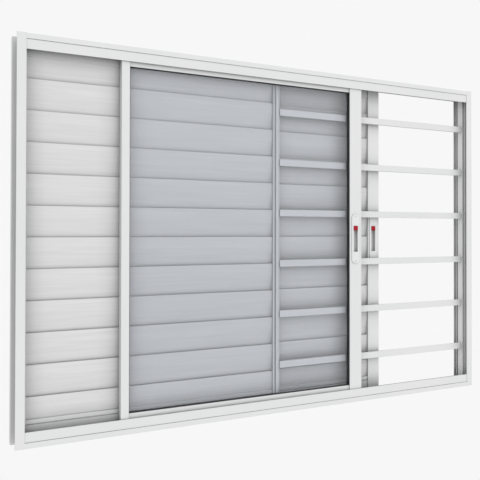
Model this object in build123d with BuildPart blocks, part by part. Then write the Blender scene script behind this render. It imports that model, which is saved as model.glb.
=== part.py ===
from build123d import *
import math
import os

# A three-track sliding window for a room wall, in white aluminium, seen from the room side:
# a glazed leaf in the front track, a fixed louvred leaf and a burglar grille in the middle one,
# and a sliding louvred leaf in the rear one. Millimetres. +X runs to the right as seen from the
# room, +Y out through the wall and +Z up. The origin is on the back of the trim flange, where it
# bears on the wall: half way along the sill's flange, in the middle of its height.

# Overall sizes of the frame
window_width = 1520.0
window_height = 1020.0
frame_depth = 60.0
trim_thickness = 2.0
head_trim_width = 14.0
jamb_trim_width = 23.0
trim_edge_radius = 1.4

# Walls of the frame's extrusions
wall = 1.5
head_face_height = 25.5
face_setback = 1.0
shadow_groove_height = 1.0
shadow_groove_depth = face_setback
partition = 1.4
partition_height = 14.0
rear_wall_height = 6.0
fin_width = 18.0
fin_overhang = 4.0
fin_end_cut = 1.5
guide_thickness = 1.6
sill_rail_height = 9.0
head_guide_height = 13.5
jamb_rib_height = 4.5
drain_slot_length = 30.0
drain_slot_height = 3.5
drain_count = 3
drain_spacing = 480.0

# Leaves: both sliding leaves have one width and one height
leaf_thickness = 15.0
leaf_wall = 1.3
leaf_width = 781.0
leaf_top_gap = 7.5
leaf_floor_gap = 3.5
lock_stile_width = 45.0
meeting_stile_width = 22.0
rail_setback = 3.5
notch_width = 4.6
notch_clearance = 1.0
hook_reach = 3.4
glass_leaf_right_edge = 286.5
shutter_leaf_right_edge = 387.0
shutter_lock_stile_width = 43.2

# Glazing
glass_thickness = 3.0
glass_setback = 10.0
glazing_groove_depth = 6.0
glazing_groove_clearance = 0.3
glass_edge_clearance = 1.0
gasket_thickness = 1.4
gasket_setback = 1.5
gasket_rail_setback = 0.5
glass_bottom_rail_height = 33.4
top_rail_height = 28.6

# Louvres
slat_count = 12
lowest_nose_rise = 55.9
highest_nose_tuck = 25.7
slat_thickness = 1.2
slat_overlap = 5.7
slat_setback = 5.0
nose_radius = 1.9
nose_tail = 2.5
face_height = 20.0
bend_height = 18.0
lean_angle = 8.0
shutter_bottom_rail_height = 43.6
bead_height = 9.9
bead_gap = 3.0
bead_gap_depth = 2.6
jamb_stile_width = 6.0

# The fixed leaf's meeting stile, which carries the grille's left ends
mullion_width = 24.0
mullion_rib = 4.0
mullion_groove = 5.5
mullion_groove_depth = 6.0
mullion_step = 8.5
mullion_step_depth = 5.0

# Grille
bar_count = 6
bar_height = 20.0
bar_depth = 10.0
bar_wall = 1.2
bar_corner_radius = 1.0
grille_bottom_gap = 95.1
grille_top_gap = 91.1

# Rollers under the sliding leaves
roller_radius = 9.0
roller_groove = 1.5
roller_width = 4.6
roller_seat_gap = 0.1
roller_inset = 90.0
axle_radius = 2.0

# Pull latches on the lock stiles
latch_width = 28.5
latch_height = 154.0
latch_corner = 12.0
latch_thickness = 2.0
latch_drop = 0.5
latch_inset = 23.5
pull_width = 16.0
pull_height = 66.5
pull_depth = 8.0
pull_floor = 3.0
pull_step = 2.0
button_height = 14.6
button_clearance = 0.3
button_proud = 1.5
button_recess = 3.0
cup_wall = 1.3
cup_clearance = 0.3

# Places worked out from the sizes above
half_width = window_width / 2
bottom_edge = -head_trim_width / 2
top_edge = bottom_edge + window_height
inner_face = half_width - jamb_trim_width
web_face = half_width - head_trim_width
sill_floor = bottom_edge + head_trim_width + wall
head_ceiling = top_edge - head_trim_width - wall
clear_depth = frame_depth - wall - (wall - face_setback)
track_width = (clear_depth - 2 * partition) / 3
first_partition = wall - face_setback + track_width
second_partition = first_partition + partition + track_width
front_track = first_partition - track_width / 2
middle_track = first_partition + partition + track_width / 2
rear_track = second_partition + partition + track_width / 2
leaf_bottom = sill_floor + leaf_floor_gap
leaf_top = head_ceiling - leaf_top_gap
sill_rail_top = sill_floor + sill_rail_height
head_guide_bottom = head_ceiling - head_guide_height
glass_bottom_rail_top = leaf_bottom + glass_bottom_rail_height
top_rail_bottom = leaf_top - top_rail_height
shutter_bottom_rail_top = leaf_bottom + shutter_bottom_rail_height
lowest_nose_height = shutter_bottom_rail_top + lowest_nose_rise
highest_nose_height = top_rail_bottom + highest_nose_tuck
slat_pitch = (highest_nose_height - lowest_nose_height) / (slat_count - 1)
sill_face_top = bottom_edge + head_trim_width + head_face_height
head_face_bottom = top_edge - head_trim_width - head_face_height
lowest_bar_height = sill_face_top + grille_bottom_gap
highest_bar_height = head_face_bottom - grille_top_gap
bar_pitch = (highest_bar_height - lowest_bar_height) / (bar_count - 1)
latch_centre_height = (bottom_edge + top_edge) / 2 - latch_drop

os.makedirs("parts", exist_ok=True)
made = {}


def finish(part, name):
    """Labels a finished piece and writes it to its own file."""
    part.label = name
    made[name] = part
    export_step(part, f"parts/{name}.step")


def fill(a0, b0, a1, b1, mode=Mode.ADD):
    """One straight wall of an extrusion's section, between two opposite corners."""
    with Locations(((a0 + a1) / 2, (b0 + b1) / 2)):
        Rectangle(abs(a1 - a0), abs(b1 - b0), mode=mode)


# Trim flange: four flat strips that cover the joint between frame and wall, rounded outside

def jamb_trim(side):
    """The trim's upright on one side, -1 left and 1 right."""
    with BuildPart() as trim:
        with BuildSketch(Plane.XY.offset(bottom_edge)):
            fill(side * half_width, -trim_thickness, side * inner_face, 0)
        extrude(amount=window_height)
        front_edges = trim.faces().sort_by(Axis.Y)[0].edges().filter_by(Axis.Z)
        fillet(front_edges.sort_by(Axis.X)[0 if side < 0 else -1], trim_edge_radius)
    return trim.part


def cross_trim(z_low):
    """The trim's strip over the head or the sill, between the uprights."""
    with BuildPart() as trim:
        with BuildSketch(Plane.YZ.offset(-inner_face)):
            fill(-trim_thickness, z_low, 0, z_low + head_trim_width)
        extrude(amount=2 * inner_face)
        front_edges = trim.faces().sort_by(Axis.Y)[0].edges().filter_by(Axis.X)
        fillet(front_edges.sort_by(Axis.Z)[0 if z_low < 0 else -1], trim_edge_radius)
    return trim.part


finish(jamb_trim(-1), "trim_left")
finish(jamb_trim(1), "trim_right")
finish(cross_trim(bottom_edge), "trim_bottom")
finish(cross_trim(top_edge - head_trim_width), "trim_top")


# Frame: jambs over the full height, with the head and the sill between them

def jamb(side):
    """An upright of the frame: a web, a front wall, a middle box and a hollow rear fin, which
    reaches past the trim."""
    fin_edge = half_width + fin_overhang
    with BuildPart() as upright:
        with BuildSketch(Plane.XY.offset(bottom_edge + fin_end_cut)):
            fill(side * web_face, 0, side * (web_face - wall), frame_depth)
            fill(side * web_face, 0, side * inner_face, wall)
            fill(side * fin_edge, frame_depth - wall, side * inner_face, frame_depth)
            fill(side * fin_edge, frame_depth - fin_width, side * (fin_edge - wall), frame_depth)
            fill(side * fin_edge, frame_depth - fin_width, side * web_face, frame_depth - fin_width + wall)
            fill(side * web_face, first_partition, side * inner_face, first_partition + partition)
            fill(side * web_face, second_partition, side * inner_face, second_partition + partition)
            fill(side * (inner_face + wall), first_partition,
                 side * inner_face, second_partition + partition)
            for track in (front_track, rear_track):
                fill(side * web_face, track - guide_thickness / 2,
                     side * (web_face - wall - jamb_rib_height), track + guide_thickness / 2)
        extrude(amount=window_height - 2 * fin_end_cut)
    return upright.part


finish(jamb(-1), "frame_jamb_left")
finish(jamb(1), "frame_jamb_right")


def head_or_sill(inward, guide_height):
    """A cross member of the frame. Inward is 1 on the sill, which opens upwards, and -1 on the head."""
    edge = bottom_edge if inward > 0 else top_edge
    fin_edge = edge + inward * fin_end_cut
    web = edge + inward * head_trim_width
    floor = web + inward * wall
    with BuildPart() as member:
        with BuildSketch(Plane.YZ.offset(-inner_face)):
            fill(-face_setback, web, frame_depth, floor)
            fill(-face_setback, web, wall - face_setback, web + inward * head_face_height)
            fill(-face_setback, web, shadow_groove_depth - face_setback,
                 web + inward * shadow_groove_height, mode=Mode.SUBTRACT)
            for side in (first_partition, second_partition):
                fill(side, web, side + partition, floor + inward * partition_height)
            for track in (front_track, rear_track):
                fill(track - guide_thickness / 2, web,
                     track + guide_thickness / 2, floor + inward * guide_height)
            fill(frame_depth - wall, fin_edge, frame_depth, floor + inward * rear_wall_height)
            fill(frame_depth - fin_width, fin_edge, frame_depth, fin_edge + inward * wall)
            fill(frame_depth - fin_width, fin_edge, frame_depth - fin_width + wall, web)
        extrude(amount=2 * inner_face)
        if inward > 0:
            with BuildSketch(Plane.XZ.offset(-frame_depth)):
                with Locations((0, floor + rear_wall_height / 2)):
                    with GridLocations(drain_spacing, 1, drain_count, 1):
                        SlotOverall(drain_slot_length, drain_slot_height)
            extrude(amount=wall, mode=Mode.SUBTRACT)
    return member.part


finish(head_or_sill(-1, head_guide_height), "frame_head")
finish(head_or_sill(1, sill_rail_height), "frame_sill")


# Parts that the leaves share

def glazing_groove(wall_edge, inward, y_low):
    """The groove that holds the glass, in a section whose daylight edge is at wall_edge.
    Inward points from the daylight edge into the stile or rail."""
    y_glass = y_low + glass_setback
    return (wall_edge, y_glass, wall_edge + inward * glazing_groove_depth,
            y_glass + glass_thickness + glazing_groove_clearance)


def sliding_stile(x_low, x_high, track, daylight=0, hook=0, latch_at=None):
    """An upright tube of a sliding leaf. Daylight is -1 or 1 where its left or right side holds glass,
    hook is -1 or 1 where that side carries the meeting hook, latch_at is a pull latch's centre."""
    y_low = track - leaf_thickness / 2
    y_high = track + leaf_thickness / 2
    with BuildPart() as stile:
        with BuildSketch(Plane.XY.offset(leaf_bottom)):
            fill(x_low, y_low, x_high, y_high)
            inside_low = x_low + leaf_wall
            inside_high = x_high - leaf_wall
            if daylight < 0:
                inside_low += glazing_groove_depth
            if daylight > 0:
                inside_high -= glazing_groove_depth
            fill(inside_low, y_low + leaf_wall, inside_high, y_high - leaf_wall, mode=Mode.SUBTRACT)
            if daylight:
                edge = x_low if daylight < 0 else x_high
                a0, b0, a1, b1 = glazing_groove(edge, -daylight, y_low)
                fill(a0, b0, a1, b1, mode=Mode.SUBTRACT)
        extrude(amount=leaf_top - leaf_bottom)
        # The hook stops short of the walls between the tracks
        if hook:
            edge = x_low if hook < 0 else x_high
            hook_low = sill_floor + partition_height + notch_clearance
            hook_high = head_ceiling - partition_height - notch_clearance
            with BuildSketch(Plane.XY.offset(hook_low)):
                fill(edge, y_high - leaf_wall, edge - hook * leaf_wall, y_high + hook_reach)
            extrude(amount=hook_high - hook_low)
        # Slots in both ends, through which the sill's rail and the head's guide run
        for z_low, z_high in ((leaf_bottom, sill_rail_top + notch_clearance),
                              (head_guide_bottom - notch_clearance, leaf_top)):
            with BuildSketch(Plane.XY.offset(z_low)):
                fill(x_low, track - notch_width / 2, x_high, track + notch_width / 2)
            extrude(amount=z_high - z_low, mode=Mode.SUBTRACT)
        if latch_at is not None:
            cup_height = pull_height + button_height + 2 * cup_wall
            with BuildSketch(Plane.XZ.offset(-y_low)):
                with Locations((latch_at, latch_centre_height)):
                    Rectangle(pull_width + 2 * (cup_wall + cup_clearance),
                              cup_height + 2 * cup_clearance)
            extrude(amount=-leaf_wall, mode=Mode.SUBTRACT)
    return stile.part


def glass_rail(x_low, x_high, z_low, z_high, daylight):
    """A cross rail of the glazed leaf: a channel over the guide, with the glass in its daylight edge,
    which is its top where daylight is 1 and its bottom where it is -1. Its face lies behind the
    stiles' faces."""
    leaf_front = front_track - leaf_thickness / 2
    y_low = leaf_front + rail_setback
    y_high = front_track + leaf_thickness / 2
    edge = z_high if daylight > 0 else z_low
    far_edge = z_low if daylight > 0 else z_high
    roof = edge - daylight * (glazing_groove_depth + leaf_wall)
    with BuildPart() as rail:
        with BuildSketch(Plane.YZ.offset(x_low)):
            fill(y_low, z_low, y_high, z_high)
            fill(y_low + leaf_wall, far_edge, y_high - leaf_wall, roof, mode=Mode.SUBTRACT)
            z0, y0, z1, y1 = glazing_groove(edge, -daylight, leaf_front)
            fill(y0, z0, y1, z1, mode=Mode.SUBTRACT)
        extrude(amount=x_high - x_low)
    return rail.part


def shutter_rail(x_low, x_high, z_low, z_high, track, beaded=False):
    """A cross rail of a louvred leaf, closed towards the slats: the top rail is a channel over its
    guide, and the beaded bottom rail carries a bead over a narrow groove in its face."""
    y_low = track - leaf_thickness / 2 + rail_setback
    y_high = track + leaf_thickness / 2
    bead_low = z_high - bead_height
    groove_low = bead_low - bead_gap
    groove_back = y_low + bead_gap_depth
    with BuildPart() as rail:
        with BuildSketch(Plane.YZ.offset(x_low)):
            fill(y_low, z_low, y_high, z_high)
            if beaded:
                fill(y_low, groove_low, groove_back, bead_low, mode=Mode.SUBTRACT)
                fill(y_low + leaf_wall, z_low, y_high - leaf_wall, groove_low - leaf_wall,
                     mode=Mode.SUBTRACT)
                fill(groove_back + leaf_wall, groove_low, y_high - leaf_wall, z_high - leaf_wall,
                     mode=Mode.SUBTRACT)
            else:
                fill(y_low + leaf_wall, z_low + leaf_wall, y_high - leaf_wall, z_high,
                     mode=Mode.SUBTRACT)
        extrude(amount=x_high - x_low)
    return rail.part


def slats(x_low, x_high, track):
    """The louvre blades of one leaf. Each has a rolled nose at its top edge, stands upright below it
    and then leans back, so that its foot passes behind the nose of the blade under it. The lowest
    and highest blades are cut off at the rails."""
    y_face = track - leaf_thickness / 2 + slat_setback
    lean = math.radians(lean_angle)
    bend_back = bend_height * math.tan(lean / 2)
    nose_foot = nose_radius + nose_tail
    with BuildPart() as blades:
        for index in range(slat_count):
            z_top = lowest_nose_height + index * slat_pitch
            z_face = z_top - nose_radius
            z_bend = z_face - face_height
            z_lean = z_bend - bend_height
            z_foot = z_top - slat_pitch - slat_overlap
            foot_back = bend_back + (z_lean - z_foot) * math.tan(lean)
            with BuildSketch(Plane.YZ.offset(x_low)):
                with BuildLine():
                    tail = Line((y_face + 2 * nose_radius, z_top - nose_foot),
                                (y_face + 2 * nose_radius, z_face))
                    nose = ThreePointArc(tail @ 1, (y_face + nose_radius, z_top), (y_face, z_face))
                    face = Line(nose @ 1, (y_face, z_bend))
                    bend = TangentArc(face @ 1, (y_face + bend_back, z_lean), tangent=face % 1)
                    Line(bend @ 1, (y_face + foot_back, z_foot))
                    offset(amount=slat_thickness, side=Side.LEFT)
                make_face()
            extrude(amount=x_high - x_low)
        split(bisect_by=Plane.XY.offset(shutter_bottom_rail_top), keep=Keep.TOP)
        split(bisect_by=Plane.XY.offset(top_rail_bottom), keep=Keep.BOTTOM)
    return blades.part


def rollers(x_low, x_high, track):
    """Two grooved wheels with their axles, which carry a sliding leaf on the sill's rail."""
    z_axle = sill_rail_top + roller_seat_gap + roller_radius - roller_groove
    rim = (roller_width - guide_thickness) / 2 - notch_clearance / 2
    axle_front = track - leaf_thickness / 2 + rail_setback + leaf_wall
    axle_length = leaf_thickness - rail_setback - 2 * leaf_wall
    with BuildPart() as wheels:
        for x in (x_low + roller_inset, x_high - roller_inset):
            with BuildSketch(Plane((x, axle_front, z_axle), z_dir=(0, 1, 0))):
                Circle(axle_radius)
            extrude(amount=axle_length)
            with BuildSketch(Plane((x, track - roller_width / 2, z_axle), z_dir=(0, 1, 0))):
                Circle(roller_radius)
            extrude(amount=roller_width)
            with BuildSketch(Plane((x, track - roller_width / 2 + rim, z_axle), z_dir=(0, 1, 0))):
                Circle(roller_radius)
                Circle(roller_radius - roller_groove, mode=Mode.SUBTRACT)
            extrude(amount=roller_width - 2 * rim, mode=Mode.SUBTRACT)
    return wheels.part


def latch(x, track, name):
    """A pull latch: a rounded plate with a sloping finger pull let into the stile, and the
    sliding button above the pull."""
    y_leaf = track - leaf_thickness / 2
    y_front = y_leaf - latch_thickness
    slot_height = pull_height + button_height
    slot_bottom = latch_centre_height - slot_height / 2
    button_bottom = slot_bottom + pull_height
    left, right = x - pull_width / 2, x + pull_width / 2
    with BuildPart() as body:
        with BuildSketch(Plane.XZ.offset(-y_leaf)):
            with Locations((x, latch_centre_height)):
                RectangleRounded(latch_width, latch_height, latch_corner)
        extrude(amount=latch_thickness)
        with BuildSketch(Plane.XZ.offset(-y_leaf)):
            with Locations((x, latch_centre_height)):
                Rectangle(pull_width + 2 * cup_wall, slot_height + 2 * cup_wall)
        extrude(amount=-(pull_depth + cup_wall))
        with BuildSketch(Plane.XY.offset(slot_bottom)):
            with BuildLine():
                Polyline((left, y_front), (left, y_leaf + pull_step),
                         (right - pull_floor, y_leaf + pull_depth),
                         (right, y_leaf + pull_depth), (right, y_front), close=True)
            make_face()
        extrude(amount=pull_height, mode=Mode.SUBTRACT)
        with BuildSketch(Plane.XY.offset(button_bottom)):
            fill(left, y_front, right, y_front + button_recess)
        extrude(amount=button_height, mode=Mode.SUBTRACT)
    finish(body.part, f"{name}_latch_body")
    with BuildPart() as button:
        with BuildSketch(Plane.XY.offset(button_bottom + button_clearance)):
            fill(left + button_clearance, y_front - button_proud,
                 right - button_clearance, y_front + button_recess)
        extrude(amount=button_height - 2 * button_clearance)
        front = button.faces().sort_by(Axis.Y)[0]
        chamfer(front.edges(), button_clearance * 2)
    finish(button.part, f"{name}_latch_button")


# Glazed leaf in the front track
glass_left_edge = glass_leaf_right_edge - leaf_width
glass_daylight_left = glass_left_edge + meeting_stile_width
glass_daylight_right = glass_leaf_right_edge - lock_stile_width
glass_latch_x = glass_leaf_right_edge - latch_inset
glass_front = front_track - leaf_thickness / 2 + glass_setback

finish(sliding_stile(glass_left_edge, glass_daylight_left, front_track, daylight=1, hook=-1),
       "glass_leaf_meeting_stile")
finish(sliding_stile(glass_daylight_right, glass_leaf_right_edge, front_track, daylight=-1,
                     latch_at=glass_latch_x),
       "glass_leaf_lock_stile")
finish(glass_rail(glass_daylight_left, glass_daylight_right, leaf_bottom, glass_bottom_rail_top, 1),
       "glass_leaf_bottom_rail")
finish(glass_rail(glass_daylight_left, glass_daylight_right, top_rail_bottom, leaf_top, -1),
       "glass_leaf_top_rail")

glass_bite = glazing_groove_depth - glass_edge_clearance
with BuildPart() as glass_pane:
    with BuildSketch(Plane.XZ.offset(-glass_front)):
        fill(glass_daylight_left - glass_bite, glass_bottom_rail_top - glazing_groove_depth,
             glass_daylight_right + glass_bite, top_rail_bottom + glass_bite)
    extrude(amount=-glass_thickness)
finish(glass_pane.part, "glass_leaf_pane")

# The gasket lies just behind the rails' faces, and its uprights come forward along the stiles
with BuildPart() as glass_gasket:
    with BuildSketch(Plane.XZ.offset(-glass_front)):
        fill(glass_daylight_left, glass_bottom_rail_top, glass_daylight_right, top_rail_bottom)
        offset(amount=-gasket_thickness, kind=Kind.INTERSECTION, mode=Mode.SUBTRACT)
    extrude(amount=glass_setback - rail_setback - gasket_rail_setback)
    for edge, inward in ((glass_daylight_left, 1), (glass_daylight_right, -1)):
        with BuildSketch(Plane.XZ.offset(-glass_front)):
            fill(edge, glass_bottom_rail_top, edge + inward * gasket_thickness, top_rail_bottom)
        extrude(amount=glass_setback - gasket_setback)
finish(glass_gasket.part, "glass_leaf_gasket")

finish(rollers(glass_left_edge, glass_leaf_right_edge, front_track), "glass_leaf_rollers")
latch(glass_latch_x, front_track, "glass_leaf")


# Sliding louvred leaf in the rear track
shutter_left_edge = shutter_leaf_right_edge - leaf_width
shutter_slats_left = shutter_left_edge + meeting_stile_width
shutter_slats_right = shutter_leaf_right_edge - shutter_lock_stile_width
shutter_latch_x = shutter_leaf_right_edge - latch_inset

finish(sliding_stile(shutter_left_edge, shutter_slats_left, rear_track), "sliding_shutter_meeting_stile")
finish(sliding_stile(shutter_slats_right, shutter_leaf_right_edge, rear_track,
                     latch_at=shutter_latch_x),
       "sliding_shutter_lock_stile")
finish(shutter_rail(shutter_slats_left, shutter_slats_right, leaf_bottom, shutter_bottom_rail_top,
                    rear_track, beaded=True),
       "sliding_shutter_bottom_rail")
finish(shutter_rail(shutter_slats_left, shutter_slats_right, top_rail_bottom, leaf_top, rear_track),
       "sliding_shutter_top_rail")
finish(slats(shutter_slats_left, shutter_slats_right, rear_track), "sliding_shutter_slats")
finish(rollers(shutter_left_edge, shutter_leaf_right_edge, rear_track), "sliding_shutter_rollers")
latch(shutter_latch_x, rear_track, "sliding_shutter")


# Fixed louvred leaf in the middle track's left half
fixed_left_edge = -inner_face
fixed_slats_left = fixed_left_edge + jamb_stile_width
mullion_right = 0.0
fixed_slats_right = mullion_right - mullion_width
middle_front = middle_track - leaf_thickness / 2
middle_rear = middle_track + leaf_thickness / 2

with BuildPart() as fixed_jamb_stile:
    with BuildSketch(Plane.XY.offset(sill_floor)):
        fill(fixed_left_edge, middle_front, fixed_slats_left, middle_rear)
        fill(fixed_left_edge + leaf_wall, middle_front + leaf_wall,
             fixed_slats_left - leaf_wall, middle_rear - leaf_wall, mode=Mode.SUBTRACT)
    extrude(amount=leaf_top - sill_floor)
finish(fixed_jamb_stile.part, "fixed_shutter_jamb_stile")

# The meeting stile's front has two ribs with a groove between them, and a step for the grille
with BuildPart() as mullion:
    groove_left = fixed_slats_right + mullion_rib
    groove_right = groove_left + mullion_groove
    step_left = mullion_right - mullion_step
    step_front = middle_front + mullion_step_depth
    groove_floor = middle_front + mullion_groove_depth
    with BuildSketch(Plane.XY.offset(sill_floor)):
        fill(fixed_slats_right, middle_front, mullion_right, middle_rear)
        fill(groove_left, middle_front, groove_right, groove_floor, mode=Mode.SUBTRACT)
        fill(step_left, middle_front, mullion_right, step_front, mode=Mode.SUBTRACT)
        fill(fixed_slats_right + leaf_wall, groove_floor + leaf_wall,
             mullion_right - leaf_wall, middle_rear - leaf_wall, mode=Mode.SUBTRACT)
    extrude(amount=leaf_top - sill_floor)
finish(mullion.part, "fixed_shutter_meeting_stile")

finish(shutter_rail(fixed_slats_left, fixed_slats_right, sill_floor, shutter_bottom_rail_top,
                    middle_track, beaded=True),
       "fixed_shutter_bottom_rail")
finish(shutter_rail(fixed_slats_left, fixed_slats_right, top_rail_bottom, leaf_top, middle_track),
       "fixed_shutter_top_rail")
finish(slats(fixed_slats_left, fixed_slats_right, middle_track), "fixed_shutter_slats")


# Burglar grille: level tubes from the meeting stile to the right jamb
for index in range(bar_count):
    bar_z = lowest_bar_height + index * bar_pitch
    with BuildPart() as bar:
        with BuildSketch(Plane.YZ.offset(mullion_right)):
            with Locations((middle_track, bar_z)):
                RectangleRounded(bar_depth, bar_height, bar_corner_radius)
                Rectangle(bar_depth - 2 * bar_wall, bar_height - 2 * bar_wall, mode=Mode.SUBTRACT)
        extrude(amount=inner_face - mullion_right)
    finish(bar.part, f"grille_bar_{index + 1}")

total = sum(part.volume for part in made.values())
print(f"{len(made)} nodes, {total / 1e6:.3f} litres of material")
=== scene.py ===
# %% [markdown]
# # A three-track shuttered window
# The window comes packed from its CAD source as a fixed frame: every extrusion, slat, bar and
# latch is already at its real size. Blender gives each of them the surface that the real one
# has, and adds the small soft and turned pieces that an extrusion drawing leaves out. The first
# cell loads the frame.

# %% Load the imported window
import math
import bmesh
import bpy
from mathutils import Matrix, Vector, noise


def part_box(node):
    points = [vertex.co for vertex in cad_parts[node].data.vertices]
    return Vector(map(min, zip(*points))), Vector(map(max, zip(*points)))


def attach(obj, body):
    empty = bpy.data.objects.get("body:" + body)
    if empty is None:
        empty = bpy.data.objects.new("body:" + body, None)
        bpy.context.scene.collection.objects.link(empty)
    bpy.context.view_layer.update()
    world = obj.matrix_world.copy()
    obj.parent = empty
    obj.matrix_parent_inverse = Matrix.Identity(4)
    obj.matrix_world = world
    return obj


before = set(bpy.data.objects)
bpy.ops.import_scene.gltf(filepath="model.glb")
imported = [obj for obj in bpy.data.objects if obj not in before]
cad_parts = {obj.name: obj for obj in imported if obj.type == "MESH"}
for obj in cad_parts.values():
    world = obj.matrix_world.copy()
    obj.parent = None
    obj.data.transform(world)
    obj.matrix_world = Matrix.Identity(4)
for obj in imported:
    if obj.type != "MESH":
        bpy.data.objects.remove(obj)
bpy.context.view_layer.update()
MM = 0.001

# %% [markdown]
# ## Colours and nodes
# Colours are picked as sRGB hex values, the way a colour card or a photograph gives them, but a
# shader works in linear light. One function turns one into the other. A second one adds a shader
# node with its settings and its links in a single call, which keeps each finish short enough to
# read as a recipe. A third one starts a material, since each of them begins with the same pair:
# a principled shader and the output that it feeds.

# %% Colour and node helpers
def srgb(code):
    """A linear RGBA colour from an sRGB hex code."""
    parts = [int(code[i:i + 2], 16) / 255 for i in (1, 3, 5)]
    return [c / 12.92 if c <= 0.04045 else ((c + 0.055) / 1.055) ** 2.4 for c in parts] + [1.0]


def add_node(tree, kind, links=None, values=None, **settings):
    """Adds one node: settings are its own properties, values its sockets' numbers and links
    what feeds its sockets."""
    node = tree.nodes.new(kind)
    for name, value in settings.items():
        setattr(node, name, value)
    for socket, value in (values or {}).items():
        node.inputs[socket].default_value = value
    for socket, source in (links or {}).items():
        tree.links.new(source, node.inputs[socket])
    return node


def new_finish(name):
    """An empty material with its output and a principled shader, which the recipe then feeds."""
    material = bpy.data.materials.new(name)
    material.use_nodes = True
    tree = material.node_tree
    tree.nodes.clear()
    shader = add_node(tree, "ShaderNodeBsdfPrincipled")
    add_node(tree, "ShaderNodeOutputMaterial", {"Surface": shader.outputs["BSDF"]})
    return material, tree, shader


print("white is", [round(c, 3) for c in srgb("#E8E9EA")])

# %% [markdown]
# ## Painted shade in the corners
# The paint is darkened where the space round a point is narrow: along the stiles, under the
# rolled noses and in the tracks. This is painted shade, the soft shade that such corners get.
# Painting it by hand would take a mask for every piece. The ambient occlusion node finds the
# same places by itself, as it asks how much of the space within a given reach of a point is
# open. A colour ramp turns its answer into a grey, which is multiplied into the paint: a closed
# gap is dark, a corner is grey, and an open face keeps its full colour.

# %% Painted corner shade
CORNER_SHADE_REACH = 60 * MM
OCCLUSION_RAYS = 8
# How open the space is, from 0 for a closed gap to 1 for a free face, and the painted shade's grey
# there
CORNER_SHADE_RAMP = [(0.0, "#7A7A7A"), (0.4, "#D9D9D9"), (0.7, "#EBEBEB"), (1.0, "#FFFFFF")]


def add_painted_corner_shade(tree, unshaded):
    """The colour that feeds unshaded, darkened by painted shade where the space round the point is
    narrow.
    """
    nook = add_node(tree, "ShaderNodeAmbientOcclusion", values={"Distance": CORNER_SHADE_REACH},
                    samples=OCCLUSION_RAYS)
    shade_ramp = add_node(tree, "ShaderNodeValToRGB", {"Fac": nook.outputs["AO"]})
    while len(shade_ramp.color_ramp.elements) < len(CORNER_SHADE_RAMP):
        shade_ramp.color_ramp.elements.new(0.5)
    for stop, (openness, grey) in zip(shade_ramp.color_ramp.elements, CORNER_SHADE_RAMP):
        stop.position = openness
        stop.color = srgb(grey)
    # A mix node has its sockets once for each kind of data: 6 and 7 take colours, and 2 gives one
    mixed = add_node(tree, "ShaderNodeMix", {6: unshaded, 7: shade_ramp.outputs["Color"]}, {0: 1.0},
                     data_type="RGBA", blend_type="MULTIPLY")
    return mixed.outputs[2]


# The painted corner shade reaches this far out of a corner
print("dust reaches", CORNER_SHADE_REACH, "m out of a corner")

# %% [markdown]
# ## White powder coat
# The frame, stiles, rails and grille are extruded aluminium with a baked white powder coat. The
# powder melts into a skin about 70 micrometres thick, which gives a satin sheen, a faint orange
# peel and rounded edges, because the skin draws back from a sharp corner. The CAD's edges are
# sharp, so a Bevel node rounds them in the shading, which costs no geometry. A wide, weak noise
# moves the whiteness a little, as it does between one batch of powder and the next.

# %% Powder coat
# Real orange peel has waves of 1 to 2 mm, less than a pixel here, so it is drawn coarser
ORANGE_PEEL = 5 * MM
EDGE_SOFTNESS = 0.5 * MM
EDGE_RAYS = 4
# A patch of even whiteness is a third of a metre wide
BATCH_PATCH = 1 / 3
# A noise seldom leaves this range, so shades and sheens are spread over it
NOISE_LOW = 0.3
NOISE_HIGH = 0.7

powder_coat, tree, shader = new_finish("white_powder_coat_on_aluminium")
place = add_node(tree, "ShaderNodeTexCoord")
batch = add_node(tree, "ShaderNodeTexNoise", {"Vector": place.outputs["Object"]},
                 {"Scale": 1 / BATCH_PATCH, "Detail": 2.0, "Roughness": 0.5})
white = add_node(tree, "ShaderNodeValToRGB", {"Fac": batch.outputs["Fac"]})
white.color_ramp.elements[0].position = NOISE_LOW
white.color_ramp.elements[0].color = srgb("#D4D5D5")
white.color_ramp.elements[1].position = NOISE_HIGH
white.color_ramp.elements[1].color = srgb("#D9D9D9")
sheen = add_node(tree, "ShaderNodeMapRange", {"Value": batch.outputs["Fac"]},
                 {"From Min": NOISE_LOW, "From Max": NOISE_HIGH, "To Min": 0.38, "To Max": 0.46})
peel = add_node(tree, "ShaderNodeTexNoise", {"Vector": place.outputs["Object"]},
                {"Scale": 1 / ORANGE_PEEL, "Detail": 1.0, "Roughness": 0.4})
corner = add_node(tree, "ShaderNodeBevel", values={"Radius": EDGE_SOFTNESS}, samples=EDGE_RAYS)
skin = add_node(tree, "ShaderNodeBump",
                {"Height": peel.outputs["Fac"], "Normal": corner.outputs["Normal"]},
                {"Strength": 0.12, "Distance": 0.15 * MM})
# The base colour carries painted shade in its corners and gaps
tree.links.new(add_painted_corner_shade(tree, white.outputs["Color"]), shader.inputs["Base Color"])
tree.links.new(sheen.outputs["Result"], shader.inputs["Roughness"])
tree.links.new(skin.outputs["Normal"], shader.inputs["Normal"])
shader.inputs["IOR"].default_value = 1.5
print("made", powder_coat.name)

# %% [markdown]
# ## Roll-formed louvre slats
# The slats are thin coil-coated aluminium, bent to shape between rollers. The coil is painted
# flat and baked, so it is smoother than powder coat, and the rollers leave very faint lines
# along each blade, in its shade, its sheen and its surface. A noise stretched far along X and
# tightly across it gives those lines; a Mapping node does the stretching, since the slats run
# along X in the window's own frame.

# %% Slat paint
# Real roller lines are a fraction of a millimetre apart, far too fine to show, so they are drawn
# several millimetres wide
ROLLER_LINE = 6 * MM
STREAK_LENGTH = 180 * MM

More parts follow.
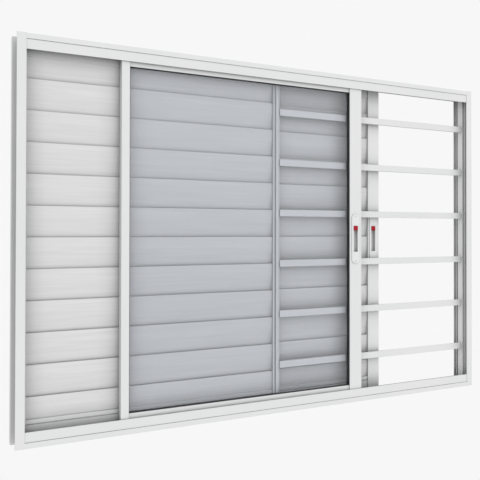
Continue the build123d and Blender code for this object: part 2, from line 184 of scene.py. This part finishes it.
slat_paint, tree, shader = new_finish("coil_coated_slat_paint")
place = add_node(tree, "ShaderNodeTexCoord")
along = add_node(tree, "ShaderNodeMapping", {"Vector": place.outputs["Object"]},
                 {"Scale": (1 / STREAK_LENGTH, 1 / ROLLER_LINE, 1 / ROLLER_LINE)})
lines = add_node(tree, "ShaderNodeTexNoise", {"Vector": along.outputs["Vector"]},
                 {"Scale": 1.0, "Detail": 2.0, "Roughness": 0.55})
white = add_node(tree, "ShaderNodeValToRGB", {"Fac": lines.outputs["Fac"]})
white.color_ramp.elements[0].position = NOISE_LOW
white.color_ramp.elements[0].color = srgb("#CDCDCD")
white.color_ramp.elements[1].position = NOISE_HIGH
white.color_ramp.elements[1].color = srgb("#D4D4D4")
sheen = add_node(tree, "ShaderNodeMapRange", {"Value": lines.outputs["Fac"]},
                 {"From Min": NOISE_LOW, "From Max": NOISE_HIGH, "To Min": 0.34, "To Max": 0.42})
rolled = add_node(tree, "ShaderNodeBump", {"Height": lines.outputs["Fac"]},
                  {"Strength": 0.10, "Distance": 0.08 * MM})
# The base colour carries painted shade under the noses and beside the stiles
tree.links.new(add_painted_corner_shade(tree, white.outputs["Color"]), shader.inputs["Base Color"])
tree.links.new(sheen.outputs["Result"], shader.inputs["Roughness"])
tree.links.new(rolled.outputs["Normal"], shader.inputs["Normal"])
shader.inputs["IOR"].default_value = 1.5
print("made", slat_paint.name)

# %% [markdown]
# ## Tinted float glass
# The pane is 3 mm float glass with a light grey body tint. Glass is a solid with two faces, so
# light refracts on the way in and again on the way out, and each face mirrors a little of the
# room. The tint is the shader's base colour, which takes effect in two steps, one at each face.
# Float glass is flat, but not perfectly so: a very wide, very shallow bump bends its reflections
# a touch. The light that the blades behind the pane gather through it would be slow and grainy
# if it were refracted too, so a ray from a matt surface meets a plain transparent tint instead.
# The shadow ray's link asks the same for lamps. It has no work in the render, where the pane
# casts no shadow, but it says that lamps shine through this glass.

# %% Glass
FLOAT_WAVE = 250 * MM

tinted_glass, tree, shader = new_finish("tinted_float_glass")
place = add_node(tree, "ShaderNodeTexCoord")
wave = add_node(tree, "ShaderNodeTexNoise", {"Vector": place.outputs["Object"]},
                {"Scale": 1 / FLOAT_WAVE, "Detail": 0.0})
flatness = add_node(tree, "ShaderNodeBump", {"Height": wave.outputs["Fac"]},
                    {"Strength": 0.05, "Distance": 0.1 * MM})
haze = add_node(tree, "ShaderNodeMapRange", {"Value": wave.outputs["Fac"]},
                {"From Min": NOISE_LOW, "From Max": NOISE_HIGH, "To Min": 0.0, "To Max": 0.02})
tree.links.new(flatness.outputs["Normal"], shader.inputs["Normal"])
tree.links.new(haze.outputs["Result"], shader.inputs["Roughness"])
shader.inputs["Base Color"].default_value = srgb("#E6E8EA")
shader.inputs["Transmission Weight"].default_value = 1.0
shader.inputs["IOR"].default_value = 1.5
ray = add_node(tree, "ShaderNodeLightPath")
plain_tint = add_node(tree, "ShaderNodeBsdfTransparent", values={"Color": srgb("#F5F6F9")})
gathered = add_node(tree, "ShaderNodeMath",
                    {0: ray.outputs["Is Shadow Ray"], 1: ray.outputs["Is Diffuse Ray"]},
                    operation="MAXIMUM")
either = add_node(tree, "ShaderNodeMixShader", {"Fac": gathered.outputs["Value"],
                                                 1: shader.outputs["BSDF"],
                                                 2: plain_tint.outputs["BSDF"]})
tree.links.new(either.outputs["Shader"], tree.nodes["Material Output"].inputs["Surface"])
print("made", tinted_glass.name)

# %% [markdown]
# ## Glazing rubber
# The gasket round the pane is extruded black rubber. A die leaves it matt, with a fine grain,
# and age gives it a faint grey bloom. One noise drives the black, the sheen and the relief, so
# that the paler grains are also the rougher ones.

# %% Gasket rubber
# The real grain is about 0.1 mm, far too fine to show, so it is drawn coarser
RUBBER_GRAIN = 2 * MM

glazing_rubber, tree, shader = new_finish("black_glazing_rubber")
place = add_node(tree, "ShaderNodeTexCoord")
grit = add_node(tree, "ShaderNodeTexNoise", {"Vector": place.outputs["Object"]},
                {"Scale": 1 / RUBBER_GRAIN, "Detail": 2.0})
black = add_node(tree, "ShaderNodeValToRGB", {"Fac": grit.outputs["Fac"]})
black.color_ramp.elements[0].color = srgb("#1B1D1F")
black.color_ramp.elements[1].color = srgb("#2B2E31")
bloom = add_node(tree, "ShaderNodeMapRange", {"Value": grit.outputs["Fac"]},
                 {"To Min": 0.5, "To Max": 0.7})
drawn = add_node(tree, "ShaderNodeBump", {"Height": grit.outputs["Fac"]},
                 {"Strength": 0.2, "Distance": 0.1 * MM})
tree.links.new(black.outputs["Color"], shader.inputs["Base Color"])
tree.links.new(bloom.outputs["Result"], shader.inputs["Roughness"])
tree.links.new(drawn.outputs["Normal"], shader.inputs["Normal"])
print("made", glazing_rubber.name)

# %% [markdown]
# ## Moulded plastics
# The latches are moulded in white plastic and their buttons in red, and the rollers are nylon, a
# little translucent. All three come out of a steel mould whose etched walls leave a fine grain,
# so one function makes them, and only the colours, the grain and the gloss differ. The buttons
# mirror less of the room than the plates round them do, so their specular level is lowered too.

# %% Latch, button and roller plastics
# An etched mould's grain is about 0.1 mm, far too fine to show, so it is drawn coarser
MOULD_GRAIN = 1.5 * MM
NYLON_GRAIN = 2.0 * MM
MOULD_EDGE = 0.6 * MM


def moulded_plastic(name, dark, light, grain, smooth, rough):
    """Moulded plastic: an even colour from dark to light, with grain in metres, and a roughness
    between smooth and rough."""
    material, tree, shader = new_finish(name)
    place = add_node(tree, "ShaderNodeTexCoord")
    etch = add_node(tree, "ShaderNodeTexNoise", {"Vector": place.outputs["Object"]},
                    {"Scale": 1 / grain, "Detail": 2.0})
    colour = add_node(tree, "ShaderNodeValToRGB", {"Fac": etch.outputs["Fac"]})
    colour.color_ramp.elements[0].color = srgb(dark)
    colour.color_ramp.elements[1].color = srgb(light)
    gloss = add_node(tree, "ShaderNodeMapRange", {"Value": etch.outputs["Fac"]},
                     {"To Min": smooth, "To Max": rough})
    corner = add_node(tree, "ShaderNodeBevel", values={"Radius": MOULD_EDGE}, samples=EDGE_RAYS)
    relief = add_node(tree, "ShaderNodeBump",
                      {"Height": etch.outputs["Fac"], "Normal": corner.outputs["Normal"]},
                      {"Strength": 0.08, "Distance": 0.05 * MM})
    # The base colour carries painted shade in its corners and gaps
    tree.links.new(add_painted_corner_shade(tree, colour.outputs["Color"]), shader.inputs["Base Color"])
    tree.links.new(gloss.outputs["Result"], shader.inputs["Roughness"])
    tree.links.new(relief.outputs["Normal"], shader.inputs["Normal"])
    shader.inputs["IOR"].default_value = 1.53
    return material, shader


latch_plastic, shader = moulded_plastic("white_moulded_latch_plastic", "#D6D7D7", "#DCDCDC",
                                        grain=MOULD_GRAIN, smooth=0.28, rough=0.36)
button_plastic, shader = moulded_plastic("red_moulded_button_plastic", "#9A0616", "#A4081C",
                                         grain=MOULD_GRAIN, smooth=0.35, rough=0.45)
shader.inputs["Specular IOR Level"].default_value = 0.2
roller_nylon, shader = moulded_plastic("natural_nylon", "#D2D0C6", "#DEDCD4",
                                       grain=NYLON_GRAIN, smooth=0.4, rough=0.5)
shader.inputs["Subsurface Weight"].default_value = 0.1
print("made", latch_plastic.name, button_plastic.name, roller_nylon.name)

# %% [markdown]
# ## Pile and plated steel
# The brush seal is grey polypropylene pile: the fibres scatter light at their edges, which a
# weak sheen over a rough base gives, and a strong bump breaks the strip up into tufts. The
# screws are steel with a thin, bright zinc plate, whose crystals give the metal a slight mottle.

# %% Brush pile
# Single fibres are under 0.1 mm thick, far too fine to show, so they are drawn as coarse tufts
PILE_TUFT = 1.5 * MM

pile_and_groove_shade, tree, shader = new_finish("grey_pile_and_painted_groove_shade")
place = add_node(tree, "ShaderNodeTexCoord")
fibres = add_node(tree, "ShaderNodeTexNoise", {"Vector": place.outputs["Object"]},
                  {"Scale": 1 / PILE_TUFT, "Detail": 3.0, "Roughness": 0.7})
grey = add_node(tree, "ShaderNodeValToRGB", {"Fac": fibres.outputs["Fac"]})
# The pile's grey is partly painted shade, set to give the shade of the groove it fills
grey.color_ramp.elements[0].color = srgb("#8A8D90")
grey.color_ramp.elements[1].color = srgb("#B0B3B6")
tufts = add_node(tree, "ShaderNodeBump", {"Height": fibres.outputs["Fac"]},
                 {"Strength": 0.6, "Distance": 0.4 * MM})
tree.links.new(grey.outputs["Color"], shader.inputs["Base Color"])
tree.links.new(tufts.outputs["Normal"], shader.inputs["Normal"])
shader.inputs["Roughness"].default_value = 0.9
shader.inputs["Sheen Weight"].default_value = 0.3
print("made", pile_and_groove_shade.name)

# %% Plated steel
# The real mottle is well under 0.1 mm, far too fine to show, so it is drawn coarser
ZINC_MOTTLE = 1.2 * MM

zinc_plate, tree, shader = new_finish("zinc_plated_steel")
place = add_node(tree, "ShaderNodeTexCoord")
spangle = add_node(tree, "ShaderNodeTexNoise", {"Vector": place.outputs["Object"]},
                   {"Scale": 1 / ZINC_MOTTLE, "Detail": 3.0})
metal = add_node(tree, "ShaderNodeValToRGB", {"Fac": spangle.outputs["Fac"]})
metal.color_ramp.elements[0].color = srgb("#BCBFC2")
metal.color_ramp.elements[1].color = srgb("#D8DADD")
worn = add_node(tree, "ShaderNodeMapRange", {"Value": spangle.outputs["Fac"]},
                {"To Min": 0.25, "To Max": 0.45})
tree.links.new(metal.outputs["Color"], shader.inputs["Base Color"])
tree.links.new(worn.outputs["Result"], shader.inputs["Roughness"])
shader.inputs["Metallic"].default_value = 1.0
print("made", zinc_plate.name)

# %% [markdown]
# ## Dress the CAD nodes
# Each imported node already has a material slot of its own. The finish goes into that slot, chosen
# by what the node is. The shapes are left exactly as the CAD gives them. The pane casts no
# shadow: the occlusion test behind the painted corner shade has no eye for glass, and would take
# it for a wall in front of the blades behind it.

# %% Give each node its finish
FINISH_BY_ENDING = [("_slats", slat_paint), ("_pane", tinted_glass), ("_gasket", glazing_rubber),
                    ("_latch_button", button_plastic), ("_latch_body", latch_plastic),
                    ("_rollers", roller_nylon)]
for name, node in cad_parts.items():
    finish = next((f for ending, f in FINISH_BY_ENDING if name.endswith(ending)), powder_coat)
    if not node.data.materials:
        node.data.materials.append(finish)
    for place_in_list in range(len(node.data.materials)):
        node.data.materials[place_in_list] = finish
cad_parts["glass_leaf_pane"].visible_shadow = False
print("dressed", len(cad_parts), "nodes")

# %% [markdown]
# ## Helpers for the added pieces
# Every added piece is a bmesh that is built where it belongs, in metres, so that its object can
# stay at the origin, unturned and unscaled. The helper recalculates the normals, shades the mesh
# and makes the piece ride on the window's one body. A second helper adds the box that several
# pieces start from.

# %% Piece helpers
MERGE_DISTANCE = 1e-6


def make_piece(name, mesh_in_work, material, smooth=False):
    """Turns a finished bmesh into an object that rides on the window."""
    bmesh.ops.remove_doubles(mesh_in_work, verts=mesh_in_work.verts, dist=MERGE_DISTANCE)
    bmesh.ops.recalc_face_normals(mesh_in_work, faces=mesh_in_work.faces)
    for face in mesh_in_work.faces:
        face.smooth = smooth
    mesh = bpy.data.meshes.new(name)
    mesh_in_work.to_mesh(mesh)
    mesh_in_work.free()
    mesh.materials.append(material)
    piece = bpy.data.objects.new(name, mesh)
    bpy.context.scene.collection.objects.link(piece)
    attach(piece, "root")
    print(f"{name}: {len(mesh.polygons)} faces")
    return piece


def block(work, low, high):
    """A plain box in the bmesh, between two corners, returned as its vertices."""
    low, high = Vector(low), Vector(high)
    made = bmesh.ops.create_cube(work, size=1.0)["verts"]
    bmesh.ops.scale(work, vec=high - low, verts=made)
    bmesh.ops.translate(work, vec=(low + high) / 2, verts=made)
    return made


print("added pieces are merged at", MERGE_DISTANCE, "m")

# %% [markdown]
# ## Brush seal
# Where two leaves pass, a strip of brush pile stops the draught. The fixed shutter's meeting
# stile holds one in the groove between its two ribs. Its grey is partly painted shade: it gives
# the dark line of shade in that groove. A pile strip is a thin plastic back with a dense row of
# fibres. Single fibres would be far too fine, so the row is one narrow block, cut into short
# lengths along its run, whose tip is pushed in and out a little by noise.

# %% Pile in the meeting stile's groove
# The rib and the groove are as wide and as deep as the CAD source makes them
RIB_WIDTH = 4.0 * MM
GROOVE_WIDTH = 5.5 * MM
GROOVE_DEPTH = 6.0 * MM
# The strip keeps clear of the groove's sides and floor, and its tips stay below the ribs' fronts
PILE_END_GAP = 16 * MM
BACK_CLEARANCE = 0.3 * MM
BACK_GAP = 0.02 * MM
BACK_THICKNESS = 0.9 * MM
PILE_INSET = 1.2 * MM
PILE_REACH = 5.0 * MM
PILE_LENGTHS = 240
TIP_RAGGEDNESS = 0.35 * MM
CLUMPS_PER_METRE = 300


def pile_strip(work, low, high, outward, lengths):
    """A row of pile along Z from low to high, whose tips face along outward."""
    older = set(work.verts)
    made = block(work, low, high)
    half_run = 0.5 * (high[2] - low[2])
    upright = [e for e in work.edges
               if e.verts[0] in made and abs((e.verts[0].co - e.verts[1].co).z) > half_run]
    bmesh.ops.subdivide_edges(work, edges=upright, cuts=lengths, use_grid_fill=True)
    middle = (Vector(low) + Vector(high)) / 2
    for v in work.verts:
        if v not in older and (v.co - middle).dot(outward) > 0:
            v.co += outward * (TIP_RAGGEDNESS * noise.noise(v.co * CLUMPS_PER_METRE))


mullion_low, mullion_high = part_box("fixed_shutter_meeting_stile")
groove_left = mullion_low.x + RIB_WIDTH
groove_right = groove_left + GROOVE_WIDTH
groove_floor = mullion_low.y + GROOVE_DEPTH
back_front = groove_floor - BACK_THICKNESS
bottom = mullion_low.z + PILE_END_GAP
top = mullion_high.z - PILE_END_GAP

work = bmesh.new()
block(work, (groove_left + BACK_CLEARANCE, back_front, bottom),
      (groove_right - BACK_CLEARANCE, groove_floor - BACK_GAP, top))
pile_strip(work, (groove_left + PILE_INSET, groove_floor - PILE_REACH, bottom),
           (groove_right - PILE_INSET, back_front, top), Vector((0, -1, 0)), PILE_LENGTHS)
make_piece("meeting_stile_pile_and_groove_shade", work, pile_and_groove_shade)

# %% [markdown]
# ## Rear glazing lip
# The gasket is a U-shaped strip that wraps the glass edge, so a thin black lip shows round the
# pane from outside too. It starts as a flat grid face the size of the daylight opening, which is
# inset to make a ring, extruded to the lip's thickness and bevelled along its inner edge.

# %% Lip behind the glass
LIP_WIDTH = 1.4 * MM
LIP_HEIGHT = 1.0 * MM
LIP_ROUNDING = 0.4 * MM

glass_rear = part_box("glass_leaf_pane")[1].y
gasket_low, gasket_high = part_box("glass_leaf_gasket")

work = bmesh.new()
# A grid's size is half its side, so this sheet is 1 m square before it is scaled
sheet = bmesh.ops.create_grid(work, x_segments=1, y_segments=1, size=0.5)["verts"]
bmesh.ops.rotate(work, verts=sheet, cent=(0, 0, 0), matrix=Matrix.Rotation(math.radians(90), 3, "X"))
bmesh.ops.scale(work, verts=sheet, vec=(gasket_high.x - gasket_low.x, 1, gasket_high.z - gasket_low.z))
bmesh.ops.translate(work, verts=sheet, vec=((gasket_low.x + gasket_high.x) / 2, glass_rear,
                                            (gasket_low.z + gasket_high.z) / 2))
inset = bmesh.ops.inset_region(work, faces=work.faces[:], thickness=LIP_WIDTH, use_boundary=True,
                               use_even_offset=True)
inner = [f for f in work.faces if f not in inset["faces"]]
bmesh.ops.delete(work, geom=inner, context="FACES")
rise = bmesh.ops.extrude_face_region(work, geom=work.faces[:])
raised = [g for g in rise["geom"] if isinstance(g, bmesh.types.BMVert)]
bmesh.ops.translate(work, verts=raised, vec=(0, LIP_HEIGHT, 0))
inner_left = gasket_low.x + LIP_WIDTH / 2
inner_right = gasket_high.x - LIP_WIDTH / 2
inner_edge = [e for e in work.edges
              if all(v in raised and inner_left < v.co.x < inner_right for v in e.verts)]
bmesh.ops.bevel(work, geom=inner_edge, offset=LIP_ROUNDING, offset_type="OFFSET", segments=3,
                profile=0.5, affect="EDGES", material=-1)
make_piece("glass_leaf_rear_lip", work, glazing_rubber)

# %% [markdown]
# ## Screws
# The jambs are fixed to the head and the sill by self-tapping screws, driven through the jamb's
# web into screw ports, which show only from the side. Each latch plate has a flat screw near
# both its ends. A head is a half profile spun round its axis, with a cross on its top. The cross
# is two thin bars, since at this size only its outline can be seen.

# %% Screw helper
# A head's half profile, as shares of its radius and of its height
HEAD_PROFILE = [(0.0, 1.0), (0.55, 1.0), (0.86, 0.82), (1.0, 0.45), (1.0, 0.0)]
HEAD_SIDES = 20
# The cross's bars, as shares of the radius, and how far they go into the head and stand out of it
CROSS_REACH = 0.5
CROSS_HALF_WIDTH = 0.1
CROSS_SINK = 0.02 * MM
CROSS_RISE = 0.05 * MM


def screw(work, at, axis, radius, height):
    """One screw head that stands on the point at and faces along axis."""
    older = set(work.verts)
    verts = [work.verts.new((r * radius, 0, h * height)) for r, h in HEAD_PROFILE]
    edges = [work.edges.new(pair) for pair in zip(verts, verts[1:])]
    bmesh.ops.spin(work, geom=verts + edges, cent=(0, 0, 0), axis=(0, 0, 1), dvec=(0, 0, 0),
                   angle=math.tau, steps=HEAD_SIDES, use_merge=True)
    bmesh.ops.remove_doubles(work, verts=[v for v in work.verts if v not in older],
                             dist=MERGE_DISTANCE)
    reach = CROSS_REACH * radius
    half_width = CROSS_HALF_WIDTH * radius
    for angle in (0, 90):
        bar = block(work, (-reach, -half_width, height - CROSS_SINK),
                    (reach, half_width, height + CROSS_RISE))
        bmesh.ops.rotate(work, verts=bar, cent=(0, 0, 0),
                         matrix=Matrix.Rotation(math.radians(angle), 3, "Z"))
    head = [v for v in work.verts if v not in older]
    turn = Vector((0, 0, 1)).rotation_difference(Vector(axis)).to_matrix()
    bmesh.ops.rotate(work, verts=head, cent=(0, 0, 0), matrix=turn)
    bmesh.ops.translate(work, verts=head, vec=at)


print("a screw head is spun in", HEAD_SIDES, "steps")

# %% Corner screws
CORNER_HEAD = {"radius": 3.6 * MM, "height": 2.2 * MM}
# How far the outer face of each jamb's web stands from the window's middle
JAMB_WEB = 746.0 * MM
# From the sill's lower edge and the head's upper one, and from the wall's plane outwards
SCREW_INSET = 24 * MM
SCREW_DEPTHS = (10 * MM, 31 * MM)

sill_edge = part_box("frame_sill")[0].z
head_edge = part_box("frame_head")[1].z
work = bmesh.new()
for side in (-1, 1):
    for level in (sill_edge + SCREW_INSET, head_edge - SCREW_INSET):
        for depth in SCREW_DEPTHS:
            screw(work, (side * JAMB_WEB, depth, level), (side, 0, 0), **CORNER_HEAD)
make_piece("corner_screws", work, zinc_plate, smooth=True)

# %% Latch screws
PLATE_HEAD = {"radius": 2.9 * MM, "height": 0.6 * MM}
PLATE_SCREW_INSET = 6.5 * MM

work = bmesh.new()
for leaf in ("glass_leaf", "sliding_shutter"):
    plate_low, plate_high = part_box(leaf + "_latch_body")
    middle = (plate_low.x + plate_high.x) / 2
    for level in (plate_low.z + PLATE_SCREW_INSET, plate_high.z - PLATE_SCREW_INSET):
        screw(work, (middle, plate_low.y, level), (0, -1, 0), **PLATE_HEAD)
make_piece("latch_screws", work, zinc_plate, smooth=True)

# %% [markdown]
# ## World and floor
# The photograph is a product picture on pale grey, lit softly from all round. A white world does
# most of that. It is a little brighter on the room's side, where its light falls on the faces
# that the picture shows, and overhead, which gives the slats their slow shading. Two small sums
# over the ray's direction make it so. The camera sees an even pale grey instead. The window
# hangs in a wall in real life, so the floor, a plain sheet of the same grey, lies a sill's
# height below it and takes no part in the light.

# %% World
ALL_ROUND = 0.65
FROM_THE_ROOM = 0.55
FROM_OVERHEAD = 0.40

scene = bpy.context.scene
world = bpy.data.worlds.new("white_studio")
scene.world = world
world.use_nodes = True
tree = world.node_tree
tree.nodes.clear()
seen = add_node(tree, "ShaderNodeBackground", values={"Color": srgb("#F7F7F7"), "Strength": 1.0})
direction = add_node(tree, "ShaderNodeTexCoord")
axes = add_node(tree, "ShaderNodeSeparateXYZ", {"Vector": direction.outputs["Generated"]})
in_front = add_node(tree, "ShaderNodeMath", {0: axes.outputs["Y"]}, {1: 0.0}, operation="MINIMUM")
overhead = add_node(tree, "ShaderNodeMath", {0: axes.outputs["Z"]}, {1: 0.0}, operation="MAXIMUM")
walls = add_node(tree, "ShaderNodeMath", {0: in_front.outputs["Value"]},
                 {1: -FROM_THE_ROOM, 2: ALL_ROUND}, operation="MULTIPLY_ADD")
tent = add_node(tree, "ShaderNodeMath",
                {0: overhead.outputs["Value"], 2: walls.outputs["Value"]}, {1: FROM_OVERHEAD},
                operation="MULTIPLY_ADD")
lighting = add_node(tree, "ShaderNodeBackground", {"Strength": tent.outputs["Value"]},
                    {"Color": srgb("#FFFFFF")})
ray = add_node(tree, "ShaderNodeLightPath")
either = add_node(tree, "ShaderNodeMixShader", {"Fac": ray.outputs["Is Camera Ray"],
                                                 1: lighting.outputs["Background"],
                                                 2: seen.outputs["Background"]})
add_node(tree, "ShaderNodeOutputWorld", {"Surface": either.outputs["Shader"]})
print("world strength", ALL_ROUND, "plus up to", FROM_THE_ROOM, "in front,", FROM_OVERHEAD, "overhead")

# %% Floor
FLOOR_LEVEL = -0.9
FLOOR_REACH = 40.0
# A patch of the floor's mottle is half a metre wide
FLOOR_PATCH = 0.5

floor_paint, tree, shader = new_finish("pale_floor")
place = add_node(tree, "ShaderNodeTexCoord")
mottle = add_node(tree, "ShaderNodeTexNoise", {"Vector": place.outputs["Object"]},
                  {"Scale": 1 / FLOOR_PATCH})
pale = add_node(tree, "ShaderNodeValToRGB", {"Fac": mottle.outputs["Fac"]})
pale.color_ramp.elements[0].color = srgb("#F6F6F6")
pale.color_ramp.elements[1].color = srgb("#F8F8F8")
tree.links.new(pale.outputs["Color"], shader.inputs["Emission Color"])
shader.inputs["Emission Strength"].default_value = 1.0
shader.inputs["Base Color"].default_value = srgb("#000000")
shader.inputs["Roughness"].default_value = 1.0
shader.inputs["Specular IOR Level"].default_value = 0.0

work = bmesh.new()
bmesh.ops.create_grid(work, x_segments=1, y_segments=1, size=FLOOR_REACH)
bmesh.ops.translate(work, verts=work.verts, vec=(0, 0, FLOOR_LEVEL))
floor_mesh = bpy.data.meshes.new("floor")
work.to_mesh(floor_mesh)
work.free()
floor_mesh.materials.append(floor_paint)
floor = bpy.data.objects.new("floor", floor_mesh)
scene.collection.objects.link(floor)
floor.visible_diffuse = False
floor.visible_glossy = False
floor.visible_shadow = False
print("floor at", FLOOR_LEVEL, "m")

# %% [markdown]
# ## Lamps
# Two wide area lights help the world. A weak one above the room's side gives the noses of the
# slats a soft upper edge. A stronger one far behind lights the outer side, which the world
# leaves dim, and reaches little that the photograph shows. An area light is a square that
# glass can show, so the one behind is hidden from mirrored and from refracted rays.

# %% Lights
def soft_light(name, at, towards, size, watts, in_glass):
    """A wide square area light that faces the point towards. In_glass is False where its square
    would stand in the pane like a second window."""
    light = bpy.data.lights.new(name, "AREA")
    light.shape = "SQUARE"
    light.size = size
    light.energy = watts
    lamp = bpy.data.objects.new(name, light)
    scene.collection.objects.link(lamp)
    aim = (Vector(towards) - Vector(at)).to_track_quat("-Z", "Y")
    lamp.matrix_world = Matrix.Translation(at) @ aim.to_matrix().to_4x4()
    lamp.visible_camera = False
    lamp.visible_glossy = in_glass
    lamp.visible_transmission = in_glass
    return lamp


WINDOW_MIDDLE = (0, 0, 0.5)
soft_light("soft_light_above", at=(0.0, -1.2, 4.4), towards=WINDOW_MIDDLE, size=3.0, watts=16,
           in_glass=True)
soft_light("soft_light_behind", at=(0.0, 7.0, 0.5), towards=WINDOW_MIDDLE, size=2.0, watts=130,
           in_glass=False)

# %% [markdown]
# ## Camera
# The camera stands to the left of the window and looks at it aslant, about level with its
# middle. Its place, turn and shift come from the picture: they are the ones for which the
# flange's corners and the edges of head and sill fall where the photograph has them. A shift
# moves the picture on the sensor without turning the camera, so upright edges stay nearly so.

# %% Camera
SENSOR_WIDTH = 36.0
FOCAL_LENGTH = 50.0
PICTURE_SHIFT = (-0.00104, -0.0333)
CAMERA_PLACE = (-1.0201, -1.6917, 0.5265)
HEADING = math.radians(-27.366)
TILT = math.radians(90.593)
ROLL = math.radians(0.099)

lens = bpy.data.cameras.new("photo_camera")
lens.sensor_width = SENSOR_WIDTH
lens.lens = FOCAL_LENGTH
lens.shift_x, lens.shift_y = PICTURE_SHIFT
camera = bpy.data.objects.new("photo_camera", lens)
scene.collection.objects.link(camera)
turn = Matrix.Rotation(HEADING, 4, "Z") @ Matrix.Rotation(TILT, 4, "X") @ Matrix.Rotation(ROLL, 4, "Z")
camera.matrix_world = Matrix.Translation(CAMERA_PLACE) @ turn
scene.camera = camera
scene.view_settings.view_transform = "Standard"
print("camera at", [round(c, 3) for c in camera.location])
